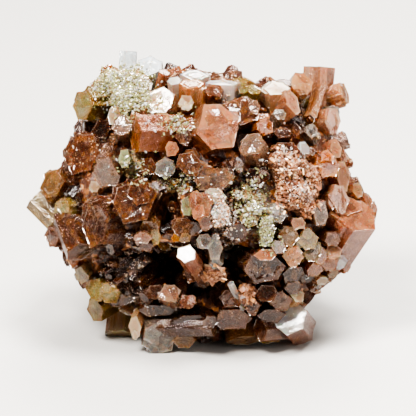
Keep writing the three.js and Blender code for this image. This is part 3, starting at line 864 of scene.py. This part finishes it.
def trim_to_rest(bm: bmesh.types.BMesh) -> None:
    """Cut away what lies under the resting plane and close the cut.

    Args:
        bm: the mesh, in world metres.
    """
    if min((v.co.z for v in bm.verts), default=1.0) > REST_CUT / 2:
        return
    everything = bm.verts[:] + bm.edges[:] + bm.faces[:]
    cut = bmesh.ops.bisect_plane(
        bm, geom=everything, plane_co=(0, 0, REST_CUT), plane_no=(0, 0, -1), clear_outer=True
    )
    edges = [g for g in cut["geom_cut"] if isinstance(g, bmesh.types.BMEdge)]
    bmesh.ops.edgenet_fill(bm, edges=edges)


@dataclass
class Piece:
    """A shown piece of the cluster."""

    name: str
    material: bpy.types.Material
    mould: Mould = field(default_factory=Mould)

    def hand_over(self) -> None:
        """Make the object, hang it under the root body and hide the imported cluster part."""
        bm = self.mould.bm
        mesh = bpy.data.meshes.new(self.name)
        bmesh.ops.recalc_face_normals(bm, faces=bm.faces[:])
        bm.to_mesh(mesh)
        bm.free()
        mesh.materials.append(self.material)
        piece = bpy.data.objects.new(self.name, mesh)
        bpy.context.scene.collection.objects.link(piece)
        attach(piece, "root")
        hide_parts(NODE)
        mesh.calc_loop_triangles()
        log.info("%s: %d triangles", self.name, len(mesh.loop_triangles))


@dataclass
class PrismPiece(Piece):
    """All prisms of one finish, in one mesh."""

    def grow(self, shapes: Sequence[PrismShape]) -> None:
        """Add prisms.

        Args:
            shapes: the prisms to add.
        """
        for shape in shapes:
            single = shape.build()
            single.bm.transform(TO_WORLD)
            trim_to_rest(single.bm)
            if single.bm.faces:
                self.mould.absorb(single)


@dataclass
class MatrixPiece(Piece):
    """The mass that the crystals grow from, with its hollows and lumps, in grid steps."""

    seat: float = 5.0  # how far it stays under the core's surface
    swing: float = 5.0  # how far its knobs and cracks go
    lip: float = 2.5  # the same on the walls of the hollows
    heart: float = 12.0  # the nearest that a hollow comes to its middle

    def swell(self) -> None:
        """Build the mass as a ball pushed out to the core and in at the hollows."""
        bm = self.mould.bm
        bmesh.ops.create_icosphere(bm, subdivisions=6, radius=1.0)
        base = Vector((0, -CORE_LOW, CORE_FORWARD))
        for vert in bm.verts:
            way = vert.co.normalized()
            reach = 1 / math.sqrt(sum((way[i] / CORE[i]) ** 2 for i in range(3)))
            rough = noise.fractal((base + way * (reach - self.seat)) * 0.05, 0.8, 2.2, 5)
            reach += -self.seat + self.swing * rough
            for lump, turn in HOLLOWS:
                reach = min(reach, self._entry(base, way, lump, turn) + self.lip * rough)
            vert.co = base + way * max(self.heart, reach)
        self._paint(self.mould, T.BROWN.value)
        bm.transform(TO_WORLD)
        trim_to_rest(bm)

    @staticmethod
    def _entry(base: Vector, way: Vector, lump: Lump, turn: float) -> float:
        """Find where a line from the middle of the mass enters a hollow.

        Args:
            base: the middle of the mass.
            way: the way of the line.
            lump: the hollow.
            turn: how far the hollow is turned on the sheet, in degrees.

        Returns:
            How far along the line it is, or NEVER.
        """
        spin = Matrix.Rotation(math.radians(turn), 3, "Z")
        m, w = spin @ (lump.middle() - base), spin @ way
        size = Vector((lump.rx, lump.ry, lump.rz))
        a = sum((w[i] / size[i]) ** 2 for i in range(3))
        b = -2 * sum(w[i] * m[i] / size[i] ** 2 for i in range(3))
        c = sum((m[i] / size[i]) ** 2 for i in range(3)) - 1
        under = b * b - 4 * a * c
        if under <= 0:
            return NEVER
        near = (-b - math.sqrt(under)) / (2 * a)
        return near if near > 0 else NEVER

    def add_lumps(self, lumps: Sequence[Lump], palette: Palette, rough: float) -> None:
        """Add rounded, broken rises under druse and crust.

        Args:
            lumps: where they are.
            palette: their colours.
            rough: how deep their cracks and knobs are, as a share of their size.
        """
        for index, lump in enumerate(lumps):
            single = Mould()
            bmesh.ops.create_icosphere(single.bm, subdivisions=5, radius=1.0)
            middle = lump.middle()
            for vert in single.bm.verts:
                way = vert.co.normalized()
                at = way * 2.2 + Vector((index * 3.1, 0, 0))
                knobs = noise.fractal(at, 0.7, 2.1, 5)
                bands = Vector((at.x + at.y, 3.4 * (at.x - at.y), 2 * at.z))
                cracks = 1 - min(1.0, 5 * abs(noise.noise(bands)))
                grown = Vector((way.x * lump.rx, way.y * lump.ry, way.z * lump.rz))
                vert.co = middle + grown * (0.9 + rough * (knobs - cracks))
            single.bm.transform(TO_WORLD)
            self._paint(single, palette)
            self.mould.absorb(single)

    @staticmethod
    def _paint(mould: Mould, palette: Palette) -> None:
        """Give every point of a mould the palette's colours."""
        for layer, colour in mould.coats(palette):
            for vert in mould.bm.verts:
                vert[layer] = (*colour, 1)


@dataclass
class Surface:
    """What the fine growth settles on: every crystal and the mass, as one search tree."""

    tree: BVHTree

    AWAY = 400  # grid steps from which a line is cast
    AIM = 20  # how far beside the middle a line from outside may aim

    @classmethod
    def of(cls, pieces: Sequence[Piece]) -> "Surface":
        """Gather the meshes of pieces that aren't handed over yet.

        Args:
            pieces: the pieces to settle on.

        Returns:
            The surface, in world metres.
        """
        verts: List[Vector] = []
        faces: List[List[int]] = []
        for piece in pieces:
            bm = piece.mould.bm
            bm.verts.index_update()
            start = len(verts)
            verts += [v.co.copy() for v in bm.verts]
            faces += [[start + v.index for v in f.verts] for f in bm.faces]
        return cls(BVHTree.FromPolygons(verts, faces))

    def seen_from_sheet(self, x: float, y: float) -> Optional[Tuple[Vector, Vector]]:
        """Look at the sheet straight on and find what is there.

        Args:
            x: grid column.
            y: grid row.

        Returns:
            The place and its normal, or None past the outline.
        """
        start = TO_WORLD @ Vector((x - CENTRE_X, CENTRE_Y - y, self.AWAY))
        way = (TO_WORLD.to_3x3() @ Vector((0, 0, -1))).normalized()
        spot, normal, _, _ = self.tree.ray_cast(start, way)
        return None if spot is None else (spot, normal)

    def seen_from_outside(self, rng: random.Random) -> Optional[Tuple[Vector, Vector, float]]:
        """Look at the middle from a random side.

        Args:
            rng: the source of the side.

        Returns:
            The place, its normal and its distance from the middle as a share of the reach, or None.
        """
        way = drift(rng).normalized()
        aim = Vector([rng.uniform(-self.AIM, self.AIM) for _ in range(3)])
        start = TO_WORLD @ (way * self.AWAY + aim)
        goal = (TO_WORLD @ aim - start).normalized()
        spot, normal, _, _ = self.tree.ray_cast(start, goal)
        if spot is None:
            return None
        at = TO_SHEET @ spot
        share = math.sqrt((at.x / REACH_X) ** 2 + (at.y / REACH_Y) ** 2 + (at.z / REACH_FRONT) ** 2)
        return spot, normal, share


@dataclass
class GrainPiece(Piece):
    """Fine growth: small prisms, plates and crumbs, each a few faces."""

    seed: int = 0
    taper: float = 0.44  # half width at the tip, against 0.5 at the foot
    seat: float = 0.1  # how far a grain's middle stands above its spot, as a share of its length
    worn: float = 0.6  # how near to an edge the finish takes every point to be
    druse_width: Tuple[float, float] = (0.9, 2.7)
    druse_spread: float = 0.52  # how far they stray, as a share of the patch
    plate_width: Tuple[float, float] = (1.4, 5.4)
    plate_thick: Tuple[float, float] = (0.6, 1.8)
    plate_length: Tuple[float, float] = (2.5, 7.5)
    plate_sunk: float = 0.4  # how deep a splinter sits, as a share of its length
    crumb_width: Tuple[float, float] = (0.6, 2.1)
    crumb_stray: float = 2.0  # how far the crumbs of a bunch stray, in grid steps
    bunches: Tuple[int, ...] = (1, 1, 2, 4, 7)  # how many lie together
    kinds: Dict[int, bpy.types.Mesh] = field(default_factory=dict)

    def __post_init__(self) -> None:
        """Start the draws."""
        self.rng = random.Random(self.seed)

    def _kind(self, sides: int) -> bpy.types.Mesh:
        """Make a grain with so many sides once.

        Args:
            sides: how many.

        Returns:
            Its mesh.
        """
        if sides not in self.kinds:
            bm = bmesh.new()
            bmesh.ops.create_cone(
                bm, cap_ends=True, segments=sides, radius1=0.5, radius2=self.taper, depth=1.0
            )
            bmesh.ops.translate(bm, verts=bm.verts, vec=(0, 0, self.seat))
            self.kinds[sides] = bpy.data.meshes.new(f"{self.name}_{sides}")
            bm.to_mesh(self.kinds[sides])
            bm.free()
        return self.kinds[sides]

    def place(
        self, spot: Vector, up: Vector, size: Vector, sides: int, palette: Palette, lean: float
    ) -> None:
        """Set one grain.

        Args:
            spot: where it sits, in world metres.
            up: the way it grows.
            size: its width, height across and length, in grid steps.
            sides: how many sides it has.
            palette: its colours.
            lean: how far it may lean from up, as a share of a right angle.
        """
        rng, bm, mould = self.rng, self.mould.bm, self.mould
        way = (up + lean * drift(rng)).normalized()
        start = len(bm.verts)
        bm.from_mesh(self._kind(sides))
        bm.verts.ensure_lookup_table()
        turn = way.to_track_quat("Z", "Y").to_matrix().to_4x4()
        turn = turn @ Matrix.Rotation(rng.uniform(0, 6.28), 4, "Z")
        scale = Matrix.Diagonal((size.x * GRID, size.y * GRID, size.z * GRID, 1))
        place = Matrix.Translation(spot) @ turn @ scale
        light = rng.uniform(0.8, 1.2)
        coats = [
            (layer, (*(min(1.0, value * light) for value in colour), 1.0))
            for layer, colour in mould.coats(palette)
        ]
        for k in range(start, len(bm.verts)):
            vert = bm.verts[k]
            vert.co = place @ vert.co
            vert.co.z = max(vert.co.z, REST_GRAIN)
            for layer, colour in coats:
                vert[layer] = colour
            vert[mould.edge] = self.worn

    def druse(self, surface: Surface, patch: Patch) -> None:
        """Cover a patch of the front with small upright crystals.

        Args:
            surface: what they sit on.
            patch: where, how many and in which tones.
        """
        rng, lump = self.rng, patch.lump
        for _ in range(patch.count):
            aside = self.druse_spread * lump.rx * rng.gauss(0, 1)
            down = self.druse_spread * lump.ry * rng.gauss(0, 1)
            found = surface.seen_from_sheet(lump.x + aside, lump.y + down)
            if found is None:
                continue
            width = rng.uniform(*self.druse_width)
            size = Vector((width, width * rng.uniform(0.7, 1.1), width * rng.uniform(0.8, 1.8)))
            self.place(*found, size, 6, rng.choice(patch.tones).value, 0.6)

    def plates(self, surface: Surface, patch: Lump, count: int, along: Vector) -> None:
        """Cover a patch of the front with flat splinters that run one way.

        Args:
            surface: what they sit on.
            patch: where.
            count: how many.
            along: the way they run on the sheet.
        """
        rng = self.rng
        grain = (TO_WORLD.to_3x3() @ along).normalized()
        for _ in range(count):
            angle, far = rng.uniform(0, 2 * math.pi), math.sqrt(rng.random()) * 1.05
            found = surface.seen_from_sheet(*patch.at(angle, far))
            if found is None:
                continue
            spot, normal = found
            spans = (self.plate_width, self.plate_thick, self.plate_length)
            size = Vector([rng.uniform(*span) for span in spans])
            way = grain * rng.choice((-1, 1)) + normal * rng.uniform(-0.1, 0.45)
            sunk = spot - way.normalized() * size.z * self.plate_sunk * GRID
            self.place(sunk, way, size, rng.choice((4, 5)), rng.choice(RUBBLE).value, 0.4)

    def crumbs(self, surface: Surface, count: int, low: float, high: float) -> None:
        """Strew crumbs into the gaps between the prisms, on every side.

        Args:
            surface: what they lie on.
            count: how many places to try.
            low: nearest share of the form's reach to settle at.
            high: furthest share.
        """
        rng = self.rng
        for _ in range(count):
            found = surface.seen_from_outside(rng)
            if found is None:
                continue
            spot, _, share = found
            if not low < share < high:
                continue
            bunch = rng.choice(self.bunches)
            palette = rng.choice(CRUMB_TONES).value
            for _ in range(bunch):
                near = spot + drift(rng) * self.crumb_stray * GRID * (bunch > 1)
                settled, normal, _, _ = surface.tree.find_nearest(near)
                if settled is None:
                    continue
                width = rng.uniform(*self.crumb_width)
                size = Vector((width, width * rng.uniform(0.6, 1.0), width * rng.uniform(0.6, 1.3)))
                self.place(settled, normal, size, rng.choice((5, 6)), palette, 0.6)


@dataclass
class Wiring:
    """Short ways to add and join nodes in one tree."""

    tree: bpy.types.NodeTree

    def fill(self, node: bpy.types.Node, inputs: Dict[Union[int, str], Value]) -> None:
        """Join or set inputs of a node.

        Args:
            node: the node.
            inputs: a socket or a plain value for each input, by its name or number.
        """
        for key, value in inputs.items():
            if isinstance(value, Socket):
                self.tree.links.new(value, node.inputs[key])
            else:
                node.inputs[key].default_value = value

    def node(
        self, kind: str, inputs: Optional[Dict[Union[int, str], Value]] = None, **settings: object
    ) -> bpy.types.Node:
        """Add a shader node.

        Args:
            kind: its type.
            inputs: what its inputs get.
            settings: its properties.

        Returns:
            The node.
        """
        made = self.tree.nodes.new("ShaderNode" + kind)
        for key, value in settings.items():
            setattr(made, key, value)
        self.fill(made, inputs or {})
        return made

    def math(self, operation: str, first: Value, second: Value) -> Socket:
        """Work out one number from two."""
        return self.node("Math", {0: first, 1: second}, operation=operation).outputs[0]

    def times(self, first: Value, *others: Value) -> Socket:
        """Multiply numbers in turn."""
        for other in others:
            first = self.math("MULTIPLY", first, other)
        return first

    def rest(self, value: Socket) -> Socket:
        """Give what a value leaves of 1."""
        return self.math("SUBTRACT", 1.0, value)

    def vector(self, operation: str, first: Socket, second: Value) -> Socket:
        """Work out one vector from two, or from one and its scale."""
        inputs = {0: first, "Scale" if operation == "SCALE" else 1: second}
        return self.node("VectorMath", inputs, operation=operation).outputs["Vector"]

    def mix(self, factor: Value, first: Socket, second: Value, blend: str = "MIX") -> Socket:
        """Lay the second colour over the first."""
        inputs = {0: factor, 6: first, 7: second}
        return self.node("Mix", inputs, data_type="RGBA", blend_type=blend).outputs[2]

    def tint(self, colour: Socket, text: str, *amounts: Value, blend: str = "MIX") -> Socket:
        """Lay a plain colour over another, as much as the product of the amounts."""
        return self.mix(self.times(*amounts), colour, (*srgb(text), 1.0), blend)

    def ramp(self, factor: Socket, low: float, high: float) -> Socket:
        """Turn a value smoothly into 0 below low and 1 above high."""
        inputs = {"Value": factor, "From Min": low, "From Max": high}
        return self.node("MapRange", inputs, interpolation_type="SMOOTHSTEP").outputs["Result"]

    def noise(self, vector: Socket, scale: float, detail: float, rough: float) -> Socket:
        """Read a cloudy pattern at a place."""
        inputs = {"Vector": vector, "Scale": scale, "Detail": detail, "Roughness": rough}
        return self.node("TexNoise", inputs).outputs["Fac"]

    def cells(self, vector: Socket, scale: float) -> Tuple[Socket, Socket, Socket]:
        """Read the inner patches of a crystal.

        Args:
            vector: where to read them.
            scale: their scale.

        Returns:
            One random value a cell, the distance to the cell's edge, and one random colour a cell.
        """
        inputs = {"Vector": vector, "Scale": scale}
        inside = self.node("TexVoronoi", inputs).outputs["Color"]
        border = self.node("TexVoronoi", inputs, feature="DISTANCE_TO_EDGE").outputs["Distance"]
        return self.node("SeparateColor", {"Color": inside}).outputs[0], border, inside


class GrowthGroup:
    """The look that every crystal shares: zoned tip, darker body, clouds, streaks and grooves."""

    NAME = "Crystal growth"
    SHARES = ("Cloud", "Dust", "Veil", "Inner", "Tilt", "Groove", "Smooth")
    RESULTS = {"Color": "Color", "Roughness": "Float", "Normal": "Vector"}

    @classmethod
    def get(cls) -> bpy.types.NodeTree:
        """Make the group once.

        Returns:
            The group, giving colour, roughness and normal.
        """
        if cls.NAME in bpy.data.node_groups:
            return bpy.data.node_groups[cls.NAME]
        group = bpy.data.node_groups.new(cls.NAME, "ShaderNodeTree")
        for key in cls.SHARES:
            group.interface.new_socket(key, in_out="INPUT", socket_type="NodeSocketFloat")
        for key, kind in cls.RESULTS.items():
            group.interface.new_socket(key, in_out="OUTPUT", socket_type="NodeSocket" + kind)
        given = group.nodes.new("NodeGroupInput").outputs
        out = group.nodes.new("NodeGroupOutput")
        w = Wiring(group)
        place = w.node("TexCoord").outputs["Object"]
        body, rim, middle, edge, run, cap = (
            w.node("Attribute", attribute_name=name).outputs
            for name in ("body", "rim", "middle", "edge", "run", "cap")
        )
        edge, run, cap = edge["Fac"], run["Fac"], cap["Fac"]
        cloud = w.noise(place, 420.0, 4.0, 0.6)
        fine = w.noise(place, 1900.0, 3.0, 0.6)
        grow = w.node("UVMap", uv_map="grow").outputs["UV"]
        along = w.node("Mapping", {"Vector": grow, "Scale": (1.0, 0.25, 1.0)}).outputs["Vector"]
        streak = w.noise(along, 1.3, 5.0, 0.7)

        # a zoned tip over sides that are paler near it and along their streaks
        wobble = w.math("ADD", edge, w.times(w.math("SUBTRACT", cloud, 0.5), 0.9))
        tip = w.mix(w.ramp(wobble, 0.35, 0.95), middle["Color"], rim["Color"])
        near = w.rest(w.ramp(run, 0.5, 11.0))
        side = w.mix(w.times(near, 0.35), body["Color"], rim["Color"])
        side = w.mix(w.times(w.ramp(streak, 0.35, 0.7), 0.5), side, rim["Color"])
        colour = w.mix(cap, side, tip)
        colour = w.mix(w.times(w.ramp(cloud, 0.35, 0.75), given["Cloud"]), colour, body["Color"])

        # deep patches inside and painted glow patches that stand in for light caught inside the
        # crystal, with their seams and cracks
        swirl = w.node("TexNoise", {"Vector": place, "Scale": 260.0}).outputs["Color"]
        warp = w.vector("ADD", place, w.vector("SCALE", swirl, 0.0016))
        patch, seam, _ = w.cells(warp, 330.0)
        small, crack, sway = w.cells(warp, 820.0)
        deep, painted_glow = w.ramp(patch, 0.45, 0.95), w.ramp(small, 0.62, 0.98)
        colour = w.tint(colour, "a8744e", deep, given["Inner"], blend="MULTIPLY")
        # painted glow: orange screened over the colour in random inner patches
        colour = w.tint(colour, "e89a52", painted_glow, given["Inner"], 0.5, blend="SCREEN")
        seams = w.times(w.rest(w.ramp(seam, 0.0, 0.04)), w.ramp(cloud, 0.5, 0.6))
        cracks = w.times(w.rest(w.ramp(crack, 0.0, 0.06)), w.ramp(cloud, 0.56, 0.66))
        colour = w.tint(colour, "f0dcc8", w.math("MAXIMUM", seams, cracks), given["Veil"])

        # veils, chipped edges, dark spots and dust
        veil = w.ramp(w.noise(place, 760.0, 6.0, 0.75), 0.52, 0.72)
        colour = w.tint(colour, "e6cdbd", veil, given["Veil"])
        chips = w.times(w.ramp(edge, 0.9, 0.99), w.ramp(fine, 0.42, 0.58))
        colour = w.tint(colour, "f6e6d4", chips, w.times(cap, given["Veil"]))
        spots = w.ramp(w.noise(place, 1300.0, 2.0, 0.5), 0.68, 0.8)
        colour = w.tint(colour, "4a200c", spots, 0.3)
        colour = w.tint(colour, "dcc0a8", w.ramp(fine, 0.6, 0.74), given["Dust"])
        worn = w.math("ADD", given["Smooth"], w.times(w.ramp(fine, 0.4, 0.8), 0.25))

        # grooves down the sides, and inner patches that each lean a little
        grooves = w.times(w.rest(cap), streak, given["Groove"])
        height = w.math("ADD", w.math("ADD", grooves, w.times(fine, 0.12)), w.times(cloud, 0.35))
        lean = w.vector("SCALE", w.vector("SUBTRACT", sway, (0.5, 0.5, 0.5)), given["Tilt"])
        faced = w.vector("ADD", w.node("NewGeometry").outputs["Normal"], lean)
        faced = w.node("VectorMath", {0: faced}, operation="NORMALIZE").outputs["Vector"]
        relief = {"Strength": 0.5, "Distance": 0.0004, "Height": height, "Normal": faced}
        bump = w.node("Bump", relief).outputs["Normal"]
        w.fill(out, {"Color": colour, "Roughness": worn, "Normal": bump})
        return group


class NodeMaterial(Wiring):
    """A material cleared down to a Principled shader and an output."""

    def __init__(self, name: str) -> None:
        """Start the material."""
        self.material = bpy.data.materials.new(name)
        self.material.use_nodes = True
        super().__init__(self.material.node_tree)
        self.tree.nodes.clear()
        self.output = self.node("OutputMaterial")
        self.shader = self.node("BsdfPrincipled")
        self.fill(self.output, {"Surface": self.shader.outputs["BSDF"]})


@dataclass(frozen=True)
class CrystalFinish:
    """A crystal finish: how clear it is, and how much of each shared trait it has."""

    name: str
    clear: float
    cloud: float
    dust: float
    veil: float
    inner: float
    tilt: float
    groove: float
    smooth: float
    glow: float = 0.0
    absorb: Optional[str] = None
    density: float = 0.0

    def make(self) -> bpy.types.Material:
        """Make the material.

        Returns:
            The material.
        """
        made = NodeMaterial(self.name)
        group = made.node("Group", node_tree=GrowthGroup.get())
        made.fill(group, {key: getattr(self, key.lower()) for key in GrowthGroup.SHARES})
        look = {"IOR": 1.6, "Transmission Weight": self.clear, "Metallic": 0.0}
        for target in ("Base Color", "Roughness", "Normal"):
            look[target] = group.outputs[target.removeprefix("Base ")]
        if self.glow:
            look |= {"Subsurface Weight": self.glow, "Subsurface Scale": 0.0022}
            look["Subsurface Radius"] = (1.0, 0.36, 0.16)
        made.fill(made.shader, look)
        if self.absorb:
            inputs = {"Color": (*srgb(self.absorb), 1.0), "Density": self.density}
            volume = made.node("VolumeAbsorption", inputs)
            made.fill(made.output, {"Volume": volume.outputs["Volume"]})
        return made.material


PRISM_LOOK = CrystalFinish(
    "translucent_crystal", clear=0.74, cloud=0.22, dust=0.16, veil=0.28, inner=0.5, tilt=0.12,
    groove=0.8, smooth=0.06, glow=0.4,
)
CLEAR_LOOK = CrystalFinish(
    "clear_crystal", clear=0.55, cloud=0.3, dust=0.1, veil=0.8, inner=0.0, tilt=0.3,
    groove=0.5, smooth=0.05, absorb="e6e6da", density=30.0,
)
DRUSE_LOOK = CrystalFinish(
    "druse", clear=0.6, cloud=0.2, dust=0.1, veil=0.2, inner=0.1, tilt=0.1, groove=0.2, smooth=0.08,
)
CRUST_LOOK = CrystalFinish(
    "crust", clear=0.0, cloud=0.5, dust=0.8, veil=0.3, inner=0.3, tilt=0.2, groove=0.6, smooth=0.4,
)
MASS_LOOK = CrystalFinish(
    "dark_mass", clear=0.0, cloud=0.4, dust=0.5, veil=0.2, inner=0.8, tilt=0.2, groove=0.5,
    smooth=0.35,
)


@dataclass(frozen=True)
class FloorFinish:
    """The plain pale floor."""

    colour: str = "b8b5b0"
    rough: float = 0.7

    def make(self) -> bpy.types.Material:
        """Make the material.

        Returns:
            The material.
        """
        made = NodeMaterial("floor")
        made.fill(made.shader, {"Base Color": (*srgb(self.colour), 1.0), "Roughness": self.rough})
        return made.material


@dataclass(frozen=True)
class Lamp:
    """A square soft light: where it hangs, its side, its power in watts and its warmth from 0."""

    name: str
    place: Tuple[float, float, float]
    size: float
    power: float
    warm: float

    def hang(self, target: Vector) -> None:
        """Hang the light.

        Args:
            target: what it faces.
        """
        data = bpy.data.lights.new(self.name, "AREA")
        data.shape = "SQUARE"
        data.size = self.size
        data.energy = self.power
        data.color = (1.0, 1.0 - 0.08 * self.warm, 1.0 - 0.18 * self.warm)
        lamp = bpy.data.objects.new(self.name, data)
        lamp.location = self.place
        lamp.rotation_euler = (target - Vector(self.place)).to_track_quat("-Z", "Y").to_euler()
        bpy.context.scene.collection.objects.link(lamp)


@dataclass
class Studio:
    """Floor, light and camera, in metres."""

    target: Vector = field(default_factory=lambda: TO_WORLD @ Vector((3.0, -5.0, 0.0)))
    floor_size: float = 3.0
    distance: float = 1.0
    sensor: float = 36.0
    sky: Tuple[float, float, float, float] = (0.85, 0.87, 0.9, 1.0)
    sky_strength: float = 0.2
    lamps: Tuple[Lamp, ...] = (
        Lamp("key", (-0.28, -0.38, 0.62), 0.24, 14.0, 0.25),
        Lamp("top", (0.18, -0.12, 0.78), 0.3, 13.0, 0.1),
        Lamp("fill", (0.6, -0.5, 0.25), 0.5, 3.5, 0.2),
        Lamp("back", (0.12, 0.5, 0.5), 0.4, 6.5, 0.3),
    )

    def floor(self) -> None:
        """Lay the floor."""
        bm = bmesh.new()
        bmesh.ops.create_grid(bm, x_segments=1, y_segments=1, size=self.floor_size)
        mesh = bpy.data.meshes.new("floor")
        bm.to_mesh(mesh)
        bm.free()
        mesh.materials.append(FloorFinish().make())
        floor = bpy.data.objects.new("floor", mesh)
        bpy.context.scene.collection.objects.link(floor)
        floor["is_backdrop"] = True

    def light(self) -> None:
        """Hang the lights and set the surrounding light."""
        for lamp in self.lamps:
            lamp.hang(self.target)
        world = bpy.data.worlds.new("studio")
        world.use_nodes = True
        sky = world.node_tree.nodes["Background"].inputs
        sky["Color"].default_value = self.sky
        sky["Strength"].default_value = self.sky_strength
        bpy.context.scene.world = world
        view = bpy.context.scene.view_settings
        view.view_transform = "AgX"
        view.look = "AgX - High Contrast"
        view.exposure = 0.0

    def camera(self) -> None:
        """Set the camera at the low front view."""
        data = bpy.data.cameras.new("camera")
        data.sensor_width = self.sensor
        data.lens = self.sensor * self.distance / (PICTURE_WIDTH * GRID)
        camera = bpy.data.objects.new("camera", data)
        back = Vector((0, -math.cos(math.radians(LEAN)), math.sin(math.radians(LEAN))))
        camera.location = self.target + back * self.distance
        camera.rotation_euler = (-back).to_track_quat("-Z", "Y").to_euler()
        bpy.context.scene.collection.objects.link(camera)
        bpy.context.scene.camera = camera


def corners() -> List[List[float]]:
    """Measure the object: its lowest and highest corner as plain lists."""
    return [list(corner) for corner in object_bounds()]


def main() -> None:
    """Build the cluster, then the floor, lights and camera."""
    logging.basicConfig(level=logging.INFO, format="%(message)s")
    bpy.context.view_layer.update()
    prism_look, clear_look, druse_look, crust_look, mass_look = (
        look.make() for look in (PRISM_LOOK, CLEAR_LOOK, DRUSE_LOOK, CRUST_LOOK, MASS_LOOK)
    )

    shapes = [Shapes.on_front(row) for row in FRONT]
    cloudy = [shape for shape in shapes if not shape.palette.clear] + Shapes.on_spiral()
    prisms = PrismPiece("prisms", prism_look)
    prisms.grow(cloudy)
    twins = PrismPiece("twinned_growth", prism_look)
    twins.grow([companion for shape in cloudy for companion in Shapes.companions(shape)])
    clear = PrismPiece("clear_prisms", clear_look)
    clear.grow([shape for shape in shapes if shape.palette.clear])
    mass = MatrixPiece("mass", mass_look)
    mass.swell()
    mass.add_lumps([patch.lump for patch in DRUSE_PATCHES[:LEEK_MOUNDS]], T.SAGE.value, rough=0.13)
    rock = MatrixPiece("crust_rock", crust_look)
    rock.add_lumps(CRUST_PATCHES, T.CLAY.value, rough=0.16)

    grown = [prisms, twins, clear, mass, rock]
    young = PrismPiece("young_prisms", prism_look)
    young.grow(Shapes.infill(Surface.of(grown), tries=2600, seed=3))
    grown.append(young)
    surface = Surface.of(grown)
    druse = GrainPiece("druse", druse_look, seed=5)
    for patch in DRUSE_PATCHES:
        druse.druse(surface, patch)
    crust = GrainPiece("crust", crust_look, seed=7)
    for patch in CRUST_PATCHES:
        crust.plates(surface, patch, count=44, along=Vector((0.7, -0.7, 0.1)))
    crumbs = GrainPiece("crumbs", druse_look, seed=11)
    crumbs.crumbs(surface, count=4800, low=0.5, high=0.93)

    for piece in (*grown, druse, crust, crumbs):
        piece.hand_over()

    studio = Studio()
    studio.floor()
    studio.light()
    studio.camera()


if __name__ == "__main__":
    main()
